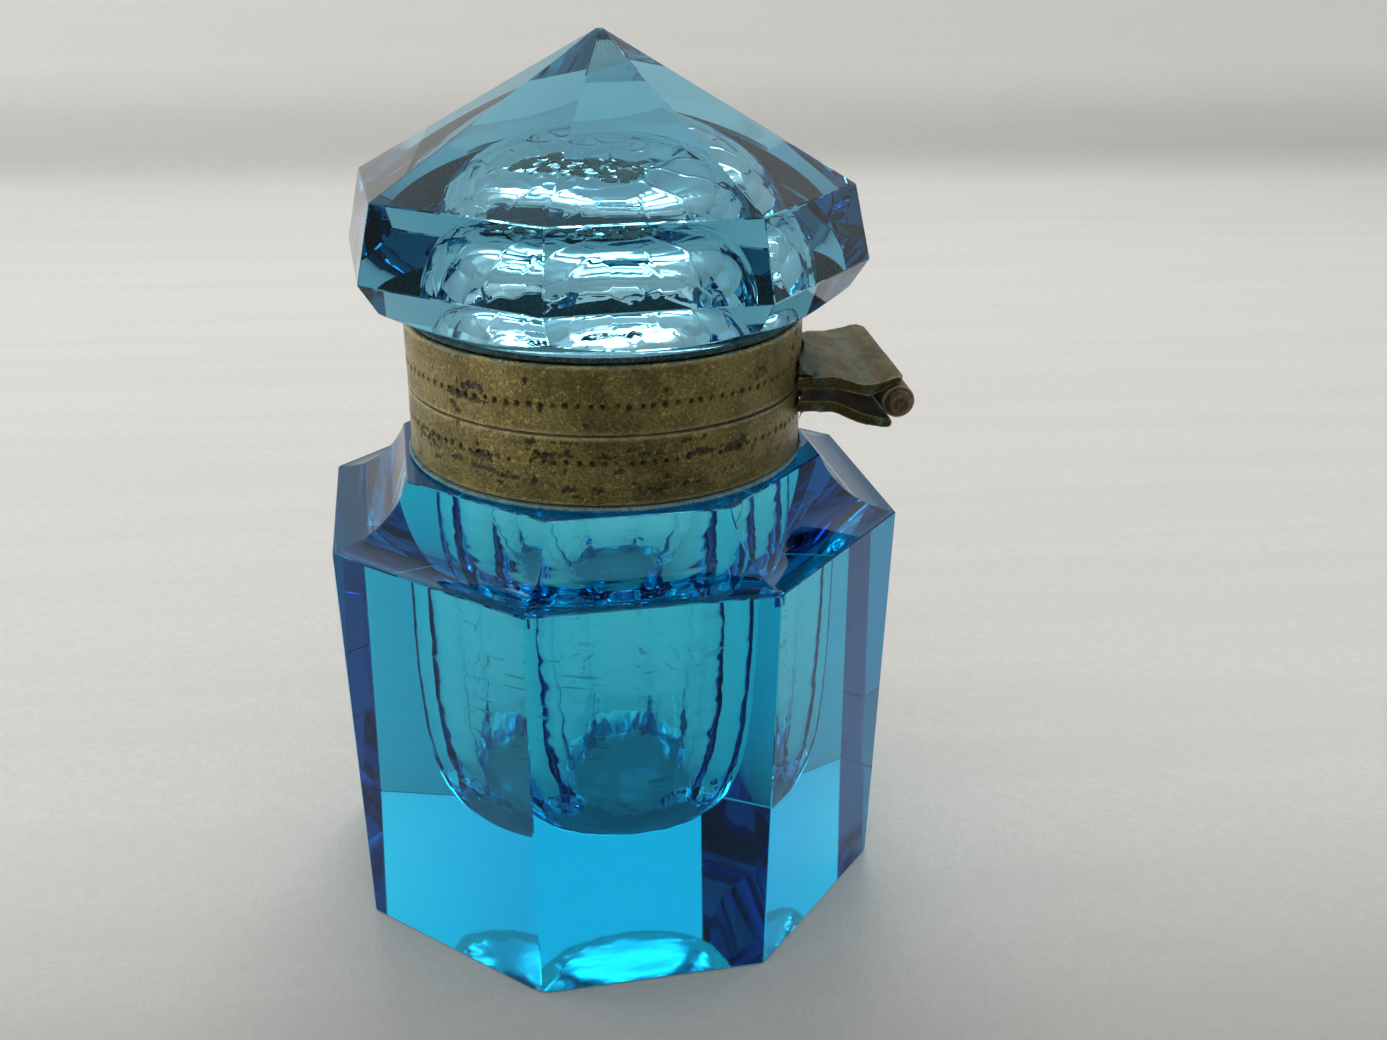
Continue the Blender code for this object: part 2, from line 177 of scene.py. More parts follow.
def skin(rings, loop=False):
    """Vertices and faces over rings of equal count. A ring of one point is a
    pole. With loop, the last ring meets the first, as on a hoop."""
    starts = np.cumsum([0] + [len(ring) for ring in rings]).tolist()
    pairs = [(k, k + 1) for k in range(len(rings) - 1)]
    if loop:
        pairs.append((len(rings) - 1, 0))
    faces = []
    for this, other in pairs:
        a, b = starts[this], starts[other]
        count = max(len(rings[this]), len(rings[other]))
        for i in range(count):
            j = (i + 1) % count
            if len(rings[this]) == 1:
                faces.append((a, b + j, b + i))
            elif len(rings[other]) == 1:
                faces.append((a + i, a + j, b))
            else:
                faces.append((a + i, a + j, b + j, b + i))
    return np.vstack(rings), faces


def pole(z):
    return np.array([[0.0, 0.0, z]])


def circle(radius, z, angles):
    return np.column_stack([radius * np.cos(angles), radius * np.sin(angles),
                            np.full(len(angles), z)])


def from_axis(points):
    return np.hypot(points[:, 0], points[:, 1])


def outward(points):
    """Unit x, y directions away from the axis."""
    return points[:, :2] / from_axis(points)[:, None]


def set_attribute(obj, name, values):
    made = obj.data.attributes.new(name, "FLOAT", "POINT")
    made.data.foreach_set("value", np.asarray(values, np.float32))


def vertex_values(obj, field):
    values = np.empty(len(obj.data.vertices) * 3)
    obj.data.vertices.foreach_get(field, values)
    return values.reshape(-1, 3)


def points_of(obj):
    return vertex_values(obj, "co") / MM


def put_points(obj, points):
    obj.data.vertices.foreach_set("co", (points * MM).astype(np.float32).ravel())
    obj.data.update()


def convexity(obj):
    """How far each vertex stands out from its neighbours, in mm."""
    points, edges = points_of(obj), edge_ends(obj.data)
    count = np.bincount(edges.ravel(), minlength=len(points)).astype(float)

    def average(values):
        total = np.zeros_like(values)
        np.add.at(total, edges[:, 0], values[edges[:, 1]])
        np.add.at(total, edges[:, 1], values[edges[:, 0]])
        return total / np.maximum(count, 1)[:, None]

    relaxed = average(average(points))
    stand = np.einsum("ij,ij->i", points - relaxed, vertex_values(obj, "normal"))
    return average(stand[:, None])[:, 0]


# ------------------------------------------------------------- glass helpers
COLUMNS = 45  # mesh columns on each facet
THETA = np.radians(((np.arange(COLUMNS) + 0.5) / COLUMNS - 0.5) * FACET_DEG)
ACROSS = np.tan(THETA) / np.tan(THETA[-1])  # -1 to 1 over a facet
CUP_POWER = 6.0  # squareness of the hollows; 2 is an ellipse


def facet_angles(turn):
    """Angle of the middle of each facet."""
    return [math.radians(turn + FACET_DEG / 2 + FACET_DEG * k) for k in range(FACETS)]


def column_angles(turn):
    return np.concatenate([angle + THETA for angle in facet_angles(turn)])


def octagon(radius, z, turn):
    """An octagonal ring, its corners cut back to a narrow arris. The radius
    and z are numbers, or arrays with a value for each column."""
    shape = (FACETS, COLUMNS)
    radius = np.broadcast_to(np.asarray(radius, float), (FACETS * COLUMNS,)).reshape(shape)
    ring = np.empty((*shape, 3))
    for k, angle in enumerate(facet_angles(turn)):
        middle = np.array([math.cos(angle), math.sin(angle), 0.0])
        along = np.array([-math.sin(angle), math.cos(angle), 0.0])
        arris = np.minimum(ARRIS, 0.3 * radius[k])
        half = radius[k] * SIN_HALF - arris / (2 * COS_HALF)
        ring[k] = middle * (radius[k] * COS_HALF)[:, None] + along * (ACROSS * half)[:, None]
    ring = ring.reshape(-1, 3)
    ring[:, 2] = z
    return ring


def cup(radius, centre_z, pole_z, mouth_z, step):
    """Radii and heights at even steps from the mouth to the pole of a hollow."""
    reach = pole_z - centre_z
    t = np.linspace(0, np.pi / 2, 6000)
    r = radius * np.sin(t) ** (2 / CUP_POWER)
    z = centre_z + reach * np.cos(t) ** (2 / CUP_POWER)
    keep = (mouth_z - z) * reach <= 0
    r, z = r[keep][::-1], z[keep][::-1]
    length = np.concatenate([[0], np.cumsum(np.hypot(np.diff(r), np.diff(z)))])
    stops = np.linspace(0, length[-1], int(length[-1] / step) + 1)
    return np.interp(stops, length, r), np.interp(stops, length, z)


def displaced_cup(radii, heights, angles, middle_z, field):
    """Rings of a hollow, short of its pole. Each point moves into the hollow
    by field(points, share), where share runs from 0 at the mouth to 1."""
    dr, dz = np.gradient(radii), np.gradient(heights)
    normals = np.stack([-dz, dr], 1) / np.hypot(dz, dr)[:, None]
    inward = normals[:, 1] * (middle_z - heights) - normals[:, 0] * radii
    normals[inward < 0] *= -1
    last = len(radii) - 1
    rings = []
    for k in range(last):
        ring = circle(radii[k], heights[k], angles)
        normal = np.column_stack([outward(ring) * normals[k, 0],
                                  np.full(len(ring), normals[k, 1])])
        rings.append(ring + normal * field(ring, k / last)[:, None])
    return rings


# ---------------------------------------------------------------- body glass
def cove_points(count):
    """(radius, z) down the hollow shoulder, from the neck ledge to the edge."""
    top, edge = Vector((COVE_TOP_R, COVE_TOP_Z)), Vector((SHOULDER_R, SHOULDER_Z))
    chord = edge - top
    half = math.radians(COVE_HALF_ARC)
    radius = chord.length / 2 / math.sin(half)
    away = Vector((-chord.y, chord.x)).normalized()
    centre = (top + edge) / 2 + away * radius * math.cos(half)
    first = math.atan2(top.y - centre.y, top.x - centre.x)
    last = math.atan2(edge.y - centre.y, edge.x - centre.x)
    if last < first:
        last += 2 * math.pi
    return [(centre.x + radius * math.cos(a), centre.y + radius * math.sin(a))
            for a in np.linspace(first, last, count + 1)]


def well_field(points, share):
    """Chill ripples of a pressed well, in mm: slow waves, level wrinkles down
    the wall, and tight folds where the wall turns into the floor."""
    slow = 0.055 * noise3(points / 7.5, seed=3)
    level = 0.030 * fbm(points / np.array([6.5, 6.5, 2.1]), seed=11, octaves=2)
    fine = 0.006 * noise3(points / 0.9, seed=5)
    radius = from_axis(points)
    fold = smooth(18.5, 12.5, points[:, 2]) * smooth(3.0, 9.0, radius)
    # the folds are stronger on the -X side
    far = smooth(2.0, -6.0, points[:, 0])
    folds = (0.075 + 0.09 * far) * fold * fbm(points / np.array([2.3, 2.3, 2.8]), seed=21)
    folds += 0.035 * far * fold * fbm(points / 0.95, seed=23, octaves=2)
    floor = smooth(9.0, 3.0, radius) * smooth(12.0, 9.5, points[:, 2])
    walls = (slow + level + fine) * smooth(0.0, 0.06, share)
    return walls + folds + 0.02 * floor * noise3(points / 3.0, seed=31)


# Chips in the corners: corner number, corner radius, z, reach, depth, noise seed
CHIPS = (
    (7, SHOULDER_R, SHOULDER_Z - 0.1, 0.95, 0.34, 7),
    (0, SHOULDER_R, SHOULDER_Z, 0.6, 0.2, 8),
    (7, BASE_R, 0.0, 0.7, 0.22, 9),
    (3, SHOULDER_R, SHOULDER_Z, 0.8, 0.25, 10),
)
# Neck outside and lip: radius, z
NECK = (
    (NECK_R + 0.08, 42.82), (NECK_R, 43.0), (NECK_R, 45.0), (NECK_R, 47.0),
    (NECK_R, NECK_TOP - 0.5), (NECK_R - 0.15, NECK_TOP - 0.15), (NECK_R - 0.5, NECK_TOP),
    (14.5, NECK_TOP), (12.85, NECK_TOP), (12.55, NECK_TOP - 0.12),
)


def press_chip(verts, number, radius, z, reach, depth, seed):
    """Presses a small shell-shaped chip into a corner of the body."""
    angle = math.radians(BODY_TURN + FACET_DEG * number)
    x, y = radius * math.cos(angle), radius * math.sin(angle)
    distance = np.linalg.norm((verts - (x, y, z)) * np.array([1, 1, 1.15]), axis=1)
    near = distance < reach
    # down into the shoulder, or up into the base
    inward = -np.array([x, y, 0.0]) / math.hypot(x, y)
    inward[2] = -0.7 if z > 30 else 0.6
    inward /= np.linalg.norm(inward)
    fall = 1 - (distance[near] / reach) ** 2
    fall *= 1 + 0.35 * noise3(verts[near] * 3.1, seed)
    verts[near] += inward * (depth * np.clip(fall, 0, 1.2))[:, None]


def body_outside(angles):
    def cut(radius, z):
        return octagon(radius, z, BODY_TURN)

    rings = [pole(0.0)]
    rings += [cut(radius, 0.0) for radius in (3.0, 10.0, 17.0, 23.0, BASE_R - 0.16)]
    for z in np.linspace(0.16, SHOULDER_Z - 0.08, 44):
        rings.append(cut(BASE_R + (SHOULDER_R - BASE_R) * z / SHOULDER_Z, z))
    # the cove, upward, its lowest ring eased and its top ring left to the ledge
    cove = cove_points(34)[::-1]
    cove[0] = (cove[0][0] - 0.1, cove[0][1] + 0.01)
    rings += [cut(radius, z) for radius, z in cove[:-1]]
    rings.append(cut(COVE_TOP_R + 0.03, COVE_TOP_Z - 0.08))
    rings.append(cut(COVE_TOP_R - 0.10, COVE_TOP_Z))
    # the level ledge turns from octagon to circle
    ledge = cut(COVE_TOP_R - 0.6, COVE_TOP_Z)
    foot = circle(NECK_R + 0.25, COVE_TOP_Z, angles)
    rings += [ledge * (1 - t) + foot * t for t in (0.0, 0.35, 0.7, 1.0)]
    return rings + [circle(radius, z, angles) for radius, z in NECK]


def make_body_glass():
    angles = column_angles(BODY_TURN)
    rings = body_outside(angles)
    outer_count = sum(len(ring) for ring in rings)
    radii, heights = cup(WELL_R, WELL_CENTRE_Z, WELL_FLOOR, mouth_z=NECK_TOP - 0.4, step=0.27)
    rings += displaced_cup(radii, heights, angles, 28.0, well_field)
    rings.append(pole(WELL_FLOOR))
    verts, faces = skin(rings)
    for entry in CHIPS:
        press_chip(verts, *entry)
    obj = new_object("bottle_glass", verts, faces, CREASE, outer_count)
    z = verts[:, 2]
    inner = np.arange(len(verts)) >= outer_count
    wall = inner * smooth(40.0, 26.0, z) * smooth(11.0, 15.0, z)
    set_attribute(obj, "well", wall * smooth(-0.15, 0.25, noise3(verts / 6.0, seed=91)))
    silt_top = z + 0.8 * noise3(verts / 2.5, seed=93)
    set_attribute(obj, "silt", inner * smooth(12.5, 10.0, silt_top))
    return obj


# ----------------------------------------------------------------- lid glass
def cone_z(radius):
    """Height of the cone under the lid."""
    rise = (CONE_RIM_Z - CONE_FOOT_Z) / (CONE_RIM_R - CONE_FOOT_R)
    return CONE_FOOT_Z + (radius - CONE_FOOT_R) * rise


def undercut_ring(z):
    return octagon(GIRDLE_FOOT_R - UNDERCUT * (GIRDLE_FOOT_Z - z), z, LID_TURN)


def edge_height():
    """For each column, the height at which the facet meets the cone."""
    low = np.full(FACETS * COLUMNS, 52.0)
    high = np.full(FACETS * COLUMNS, GIRDLE_FOOT_Z)
    for _ in range(60):
        middle = (low + high) / 2
        above = middle > cone_z(from_axis(undercut_ring(middle)))
        high = np.where(above, middle, high)
        low = np.where(above, low, middle)
    return (low + high) / 2


def patch_field(points):
    """1 inside the torn, stained patch near the crown of the hollow."""
    reach = np.hypot((points[:, 0] - 1.5) / 2.6, (points[:, 1] + 0.3) / 4.6)
    reach -= 0.5 * noise3(points / 1.7, seed=71)
    return smooth(1.10, 0.75, reach) * smooth(59.0, 60.3, points[:, 2])


def hammer_marks(radii, heights):
    """Centres of the hammered scales, scattered over the hollow."""
    draw = np.random.RandomState(4)
    marks = []
    for _ in range(110):
        i = int(draw.uniform(0, 1) * (len(radii) - 1))
        angle = draw.uniform(0, 2 * math.pi)
        if draw.uniform() < radii[i] / HOLLOW_R:
            marks.append((radii[i] * math.cos(angle), radii[i] * math.sin(angle), heights[i]))
    return np.array(marks)


def hollow_field(points, share, marks):
    """The pressed hollow of the lid: shallow hammered scales, wavy wrinkles
    and a torn patch near the crown."""
    warp = [noise3(points / 2.4, seed) for seed in (41, 42, 43)]
    nearest, second = nearest_two(points + 0.9 * np.column_stack(warp), marks)
    scales = 0.085 * np.clip(1 - (nearest / 3.4) ** 2, -0.4, 1)
    seam = 0.055 * smooth(0.34, 0.0, second - nearest)
    slow = 0.12 * noise3(points / 6.5, seed=51)
    level = 0.015 * fbm(points / np.array([4.0, 4.0, 1.7]), seed=61, octaves=2)
    torn = 0.15 * patch_field(points) * fbm(points / 1.1, seed=81)
    return (scales - seam + slow + level) * smooth(0.0, 0.05, share) * 0.85 + torn


def lid_outside(angles):
    rings = [pole(APEX - 0.10)]
    slope = (APEX - GIRDLE_TOP_Z) / GIRDLE_TOP_R
    for radius in (0.26, 0.5, 1.0, 2.0, 4.0, 7.0, 10.0, 13.0, 16.0, 19.0, GIRDLE_TOP_R - 0.09):
        rings.append(octagon(radius, APEX - slope * radius, LID_TURN))
    for t in np.linspace(0.012, 0.988, 14):
        radius = GIRDLE_TOP_R + (GIRDLE_FOOT_R - GIRDLE_TOP_R) * t
        z = GIRDLE_TOP_Z + (GIRDLE_FOOT_Z - GIRDLE_TOP_Z) * t
        rings.append(octagon(radius, z, LID_TURN))
    edge_z = edge_height()
    for t in (0.015, 0.2, 0.4, 0.6, 0.8, 0.97):
        rings.append(undercut_ring(GIRDLE_FOOT_Z + (edge_z - GIRDLE_FOOT_Z) * t))
    # the cone, from the scalloped edge in to a circle
    edge, foot = undercut_ring(edge_z), circle(CONE_FOOT_R, CONE_FOOT_Z, angles)
    edge_r, edge_angle = from_axis(edge), np.arctan2(edge[:, 1], edge[:, 0])
    swing = angle_gap(np.arctan2(foot[:, 1], foot[:, 0]), edge_angle)
    for t in (0.04, 0.3, 0.6, 0.9, 1.0):
        r, angle = edge_r + (CONE_FOOT_R - edge_r) * t, edge_angle + swing * t
        rings.append(np.column_stack([r * np.cos(angle), r * np.sin(angle), cone_z(r)]))
    # radius, z down the spigot and in over its end
    spigot = (
        (SPIGOT_R, 55.45), (SPIGOT_R, 53.0), (SPIGOT_R, SPIGOT_FOOT + 0.4),
        (15.9, SPIGOT_FOOT), (14.8, SPIGOT_FOOT), (13.95, SPIGOT_FOOT),
        (13.68, SPIGOT_FOOT + 0.12),
    )
    return rings + [circle(radius, z, angles) for radius, z in spigot]


def make_lid_glass():
    """The lid, with its vertices and the number of them on the outside."""
    angles = column_angles(LID_TURN)
    rings = lid_outside(angles)
    outer_count = sum(len(ring) for ring in rings)
    radii, heights = cup(HOLLOW_R, HOLLOW_CENTRE_Z, HOLLOW_CROWN,
                         mouth_z=SPIGOT_FOOT + 0.4, step=0.23)
    field = functools.partial(hollow_field, marks=hammer_marks(radii, heights))
    rings += displaced_cup(radii, heights, angles, 54.0, field)
    rings.append(pole(HOLLOW_CROWN))
    verts, faces = skin(rings)
    # the apex is a little worn
    top = verts[:, 2] > APEX - 0.7
    tip = verts[top]
    verts[top] += np.column_stack([
        0.05 * noise3(tip * 4, seed=5),
        0.05 * noise3(tip * 4, seed=6),
        -0.06 * np.abs(noise3(tip * 5, seed=7)),
    ])
    obj = new_object("lid_glass_cut", verts, faces, CREASE, outer_count)
    patch = patch_field(verts) * (np.arange(len(verts)) >= outer_count)
    broken = smooth(0.05, 0.35, fbm(verts / 0.8, seed=83) + 0.25)
    set_attribute(obj, "stain", np.clip(patch * broken, 0, 1))
    return obj, verts, outer_count


def make_stain(verts, first, low=0.03, high=0.07):
    """A thin ragged crust on the glass side of the hollow, between low and
    high mm from its surface, closed along every edge."""
    columns = FACETS * COLUMNS
    count = (len(verts) - 1 - first) // columns
    grid = np.arange(first, first + count * columns).reshape(count, columns)
    a, b = grid[:-1], grid[1:]
    quads = np.stack([a, np.roll(a, -1, 1), np.roll(b, -1, 1), b], -1).reshape(-1, 4)
    centres = verts[quads].mean(1)
    keep = (patch_field(centres) > 0.5) & (fbm(centres / 0.95, seed=83) > -0.06)
    quads = quads[keep & (from_axis(centres) > 0.25)]
    used = np.unique(quads)
    number = {int(v): k for k, v in enumerate(used)}
    away = verts[used] - np.array([0, 0, 50.0])
    away /= np.linalg.norm(away, axis=1)[:, None]
    points = np.vstack([verts[used] + away * low, verts[used] + away * high])
    upper = len(used)
    faces, edges = [], {}
    for quad in quads.tolist():
        quad = [number[v] for v in quad]
        faces.append(quad)
        faces.append([v + upper for v in reversed(quad)])
        edges.update(dict.fromkeys(zip(quad, quad[1:] + quad[:1])))
    for start, end in edges:
        if (end, start) not in edges:
            faces.append([end, start, start + upper, end + upper])
    return new_object("lid_stain", points, faces, crease=50.0)


# --------------------------------------------------------------- brass hoops
DOTS = 110
DOT_PITCH = 2 * np.pi / DOTS
HOOP_COLUMNS = DOTS * 12
HOOP_ANGLES = np.arange(HOOP_COLUMNS) * 2 * np.pi / HOOP_COLUMNS
HOOP_WALL = 0.7
HOOP_EASE = 0.14  # rounding of the outer edges

# Corroded patches: degrees from +X, z, half width, half height, strength
UPPER_BLOBS = (
    (-41, 52.5, 1.7, 0.5, 1.2), (-45.5, 51.75, 1.6, 0.42, 1.1), (-39, 51.4, 1.1, 0.22, 0.9),
    (-46, 50.2, 0.5, 0.3, 0.9), (63, 53.4, 0.5, 0.7, 0.7), (65, 54.4, 0.5, 0.5, 0.7),
    (44, 53.0, 1.0, 0.4, 0.25), (-8, 50.3, 0.8, 0.2, 0.5), (150, 52.0, 2.0, 0.6, 1.0),
    (-150, 53.0, 1.2, 0.5, 0.9),
)
LOWER_BLOBS = (
    (34, 47.15, 1.5, 0.6, 1.3), (36.5, 47.6, 0.7, 0.5, 1.1), (22.6, 47.35, 1.5, 0.33, 1.1),
    (26, 47.3, 1.0, 0.25, 1.0), (19, 48.5, 0.5, 0.22, 0.9), (24, 48.6, 0.4, 0.25, 0.9),
    (8, 47.75, 0.9, 0.22, 0.6), (-3, 47.6, 0.8, 0.25, 0.7), (-13, 47.7, 0.9, 0.28, 0.9),
    (-19.5, 47.62, 1.1, 0.36, 1.2), (-23, 48.6, 0.6, 0.3, 1.0), (-14, 48.75, 1.3, 0.12, 0.6),
    (-37, 46.75, 1.5, 0.36, 0.8), (-47, 49.0, 0.5, 0.35, 0.9), (-37, 45.65, 1.9, 0.22, 0.9),
    (-29, 45.35, 1.9, 0.18, 0.9), (-48, 45.9, 1.6, 0.3, 0.8), (-22.5, 45.3, 0.35, 0.45, 0.9),
    (-12.5, 44.75, 0.75, 0.36, 1.2), (-5, 44.7, 0.5, 0.3, 0.7), (10, 44.6, 1.2, 0.35, 0.4),
    (20, 44.8, 0.9, 0.3, 0.45), (31, 45.3, 0.8, 0.3, 0.45), (-62, 46.6, 2.4, 0.8, 0.6),
    (160, 46.8, 2.2, 0.5, 1.0), (-120, 46.9, 1.6, 0.5, 1.0),
)


def angle_gap(a, b):
    return (a - b + np.pi) % (2 * np.pi) - np.pi


def hoop_rings(low, high, dot_z):
    """Rings round the section, and for each vertex its share in wall marks."""
    ease, inner = HOOP_EASE, RING_R - HOOP_WALL
    heights = [low + ease]
    while heights[-1] < high - ease - 0.05:
        step = 0.085 if abs(heights[-1] - dot_z) < 0.6 else 0.16
        heights.append(min(heights[-1] + step, high - ease))

    def edge(z, inside):
        """Five points from the bore out to the wall; inside is +1 or -1 in z."""
        return [(inner, z + inside * 0.05), (inner + 0.06, z), (RING_R - ease - 0.1, z),
                (RING_R - ease, z), (RING_R - 0.3 * ease, z + inside * 0.3 * ease)]

    wall = [(RING_R, z) for z in heights]
    profile = edge(low, 1) + wall + edge(high, -1)[::-1]
    share = [0.0] * 4 + [0.5] + [1.0] * len(wall) + [0.5] + [0.0] * 4
    rings = [circle(radius, z, HOOP_ANGLES) for radius, z in profile]
    return rings, np.repeat(share, HOOP_COLUMNS)


def punched_dots(draw, angle, z, dot_z):
    """Depth of the dots and height of the burr around them, 0 to about 1."""
    depth = np.clip(draw.normal(0.88, 0.25, DOTS), 0.2, 1.15)
    size = np.clip(draw.normal(1.0, 0.16, DOTS), 0.65, 1.35)
    slip = draw.normal(0, 0.06, DOTS)
    lift = draw.normal(0, 0.05, DOTS) + 0.05 * np.sin(np.arange(DOTS) * 0.37)
    index = np.round(angle / (2 * np.pi) * DOTS).astype(int) % DOTS
    along = angle_gap(angle, index * DOT_PITCH) * RING_R - slip[index]
    up = z - dot_z - lift[index]
    distance = np.hypot(along / 0.25, up / 0.29) / size[index]
    hole = depth[index] * (1 - smooth(0.30, 1.0, distance))
    burr = 0.25 * depth[index] * np.exp(-(((distance - 1.25) / 0.22) ** 2))
    return hole, burr


def corrosion_level(draw, angle, z, low, high, blobs, specks):
    """Stated patches and scattered specks, highest at their centres."""
    level = np.full(len(z), -1.0)
    for degrees, centre_z, half_width, half_height, strength in blobs:
        x = angle_gap(angle, math.radians(degrees)) * RING_R / half_width
        y = (z - centre_z) / half_height
        level = np.maximum(level, strength * (1 - np.sqrt(x * x + y * y)))
    for _ in range(specks):
        centre, centre_z = draw.uniform(-np.pi, np.pi), draw.uniform(low + 0.3, high - 0.3)
        half = draw.uniform(0.12, 0.30)
        x = angle_gap(angle, centre) * RING_R / (half * draw.uniform(0.8, 2.2))
        level = np.maximum(level, 0.8 * (1 - np.hypot(x, (z - centre_z) / half)))
    return level


def make_hoop(name, box, dot_z, blobs, specks, seed, joint_above):
    """A thin hoop with a row of punched dots, dents and corroded pits. One
    rim meets the other hoop at the joint, the opposite rim is by the glass."""
    low, high = box[0][2], box[1][2]
    rings, share = hoop_rings(low, high, dot_z)
    verts, faces = skin(rings, loop=True)
    angle, z = np.arctan2(verts[:, 1], verts[:, 0]), verts[:, 2]
    draw = np.random.RandomState(seed)
    hole, burr = (mark * share for mark in punched_dots(draw, angle, z, dot_z))
    level = corrosion_level(draw, angle, z, low, high, blobs, specks)
    broken = level + 0.75 * fbm(verts / 0.42, seed + 5)
    pit = smooth(0.22, 0.42, broken) * (level > -0.9) * share
    peppered = noise3(verts / 0.33, seed + 9) + 0.35 * noise3(verts / 3.0, seed + 10)
    tiny = smooth(0.72, 0.95, peppered) * share
    dent = 0.035 * noise3(verts / 9.0, seed + 1)
    dent += 0.014 * noise3(verts / 2.2, seed + 2) + 0.006 * noise3(verts / 0.5, seed + 3)
    move = dent * share - 0.20 * hole + 0.05 * burr - 0.085 * pit - 0.03 * tiny
    move -= 0.035 * share  # keeps dents that stand out inside the hoop's own radius
    verts[:, :2] += outward(verts) * move[:, None]
    obj = new_object(name, verts, faces, crease=60.0)

    # the joint is dark all round, and on the +Y side towards +X painted shade makes it darker
    # still, on the side turned from the lamps
    joint, glass_rim, inside = (high, low, 1) if joint_above else (low, high, -1)
    side = smooth(0.15, 0.7, angle) * smooth(2.0, 1.6, angle)
    dark_joint_and_shade = smooth(0.15, 0.06, np.abs(z - joint)) * (0.22 + 0.7 * side)
    # the pit attribute carries real pits and also this painted shade along the joint
    dark = 1.05 * hole + 0.9 * pit + 0.6 * tiny + dark_joint_and_shade
    set_attribute(obj, "pit", np.clip(dark, 0, 1))
    lip = np.maximum(smooth(low + 0.42, low + 0.1, z), smooth(high - 0.42, high - 0.1, z))
    set_attribute(obj, "edge", lip * (0.6 + 0.4 * noise3(verts / 1.3, seed + 12)))
    glassward = smooth(glass_rim + inside * 0.40, glass_rim + inside * 0.05, z)
    rim_salt = glassward * smooth(0.0, 0.6, noise3(verts / 1.7, seed + 15) + 0.2)
    pit_salt = 0.35 * pit * smooth(0.2, 0.7, noise3(verts / 2.0, seed + 17))
    set_attribute(obj, "green", np.clip(rim_salt, 0, 1) + pit_salt)
    return obj


# -------------------------------------------------------------- cement beds
# Closed sections: radius, z. The first ones touch the glass.
NECK_BED = (
    (NECK_R - 0.02, 48.2), (16.9, 48.2), (16.9, 44.0), (16.9, 43.24), (17.4, 43.22),
    (17.9, 43.2), (18.0, 43.08), (17.9, 42.92), (17.2, 42.86), (NECK_R + 0.3, 42.84),
    (NECK_R - 0.02, 43.1),
)
LID_BED = (
    (16.28, 50.5), (16.28, 52.0), (16.28, 54.0), (16.28, 55.42), (16.9, 55.62),
    (17.3, 55.76), (17.46, 55.66), (17.44, 55.4), (17.2, 55.3), (16.9, 55.28),
    (16.9, 53.0), (16.9, 50.5),
)
BED_COLUMNS = 480


def make_bed(name, section, seed, roughen=0.05):
    angles = np.arange(BED_COLUMNS) * 2 * np.pi / BED_COLUMNS
    verts, faces = skin([circle(radius, z, angles) for radius, z in section], loop=True)
    free = roughen * (from_axis(verts) > NECK_R + 0.3)
    verts[:, :2] += outward(verts) * (free * noise3(verts / 0.7, seed))[:, None]
    verts[:, 2] += 0.5 * free * noise3(verts / 0.9, seed + 1)
    return new_object(name, verts, faces, crease=40.0)


# ------------------------------------------------------------------ the hinge
def worked(node, name, voxel, seed, waves, soften):
    """A copy of a CAD solid with eased edges and a hand-worked surface."""
    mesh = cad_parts[node].data.copy()
    obj = link_new(name, mesh)
    mesh.materials.clear()
    remesh = obj.modifiers.new("Remesh", "REMESH")
    remesh.mode = "VOXEL"
    remesh.voxel_size = voxel * MM
    remesh.use_smooth_shade = True
    ease = obj.modifiers.new("Smooth", "SMOOTH")
    ease.factor = 0.5
    ease.iterations = soften
    graph = bpy.context.evaluated_depsgraph_get()
    made = bpy.data.meshes.new_from_object(obj.evaluated_get(graph))
    made.name = name
    obj.modifiers.clear()
    obj.data = made
    made.shade_smooth()
    points = points_of(obj)
    move = waves * noise3(points / 3.6, seed) + waves * 0.45 * noise3(points / 1.2, seed + 1)
    move += waves * 0.2 * noise3(points / 0.45, seed + 2)
    move -= waves * 0.6
    put_points(obj, points + vertex_values(obj, "normal") * move[:, None])
    return obj


def brass_marks(obj, seed, green, dark, wear):
    """Attributes for pits, rubbed edges and green salts."""
    points = points_of(obj)
    stand = convexity(obj)
    stand = stand / max(np.percentile(np.abs(stand), 98), 1e-6)
    peppered = noise3(points / 0.35, seed) + 0.4 * noise3(points / 2.5, seed + 1)
    tiny = smooth(0.70, 0.95, peppered)
    hollow = smooth(0.25, 0.9, -stand)
    film = dark * (0.6 + 0.4 * noise3(points / 1.5, seed + 4))
    set_attribute(obj, "pit", np.clip(0.8 * tiny + 0.6 * hollow + film, 0, 1))
    rubbed = smooth(0.30, 0.95, stand) * (0.75 + 0.5 * noise3(points / 1.1, seed + 2))
    set_attribute(obj, "edge", np.clip(wear * rubbed, 0, 1))
    amount = green(points)
    salt = amount * (0.55 + 0.9 * noise3(points / 0.9, seed + 3))
    set_attribute(obj, "green", np.clip(salt + 0.5 * hollow * (amount > 0.05), 0, 1))


def near_point(points, y, z, reach):
    return smooth(reach, reach * 0.3, np.hypot(points[:, 1] - y, points[:, 2] - z))


def from_pin(points):
    return np.hypot(points[:, 1] - PIN_Y, points[:, 2] - PIN_Z)


def even_green(points):
    return np.full(len(points), 0.5)


def upper_leaf_green(points):
    spots = np.maximum(near_point(points, y=22.9, z=49.6, reach=1.0),
                       near_point(points, y=18.6, z=50.4, reach=1.1))
    return np.maximum(spots, 0.8 * smooth(8.5, 10.6, -points[:, 0]))


def lower_leaf_green(points):
    return np.maximum(near_point(points, y=24.2, z=46.4, reach=1.1),
                      near_point(points, y=18.3, z=47.4, reach=0.8))


def front_green(points):
    bottle_side = smooth(-0.2, -1.2, points[:, 1] - PIN_Y)
    return 0.9 * smooth(1.25, 1.5, from_pin(points)) * bottle_side


def pin_green(points):
    return 0.3 * smooth(0.7, 0.95, from_pin(points))


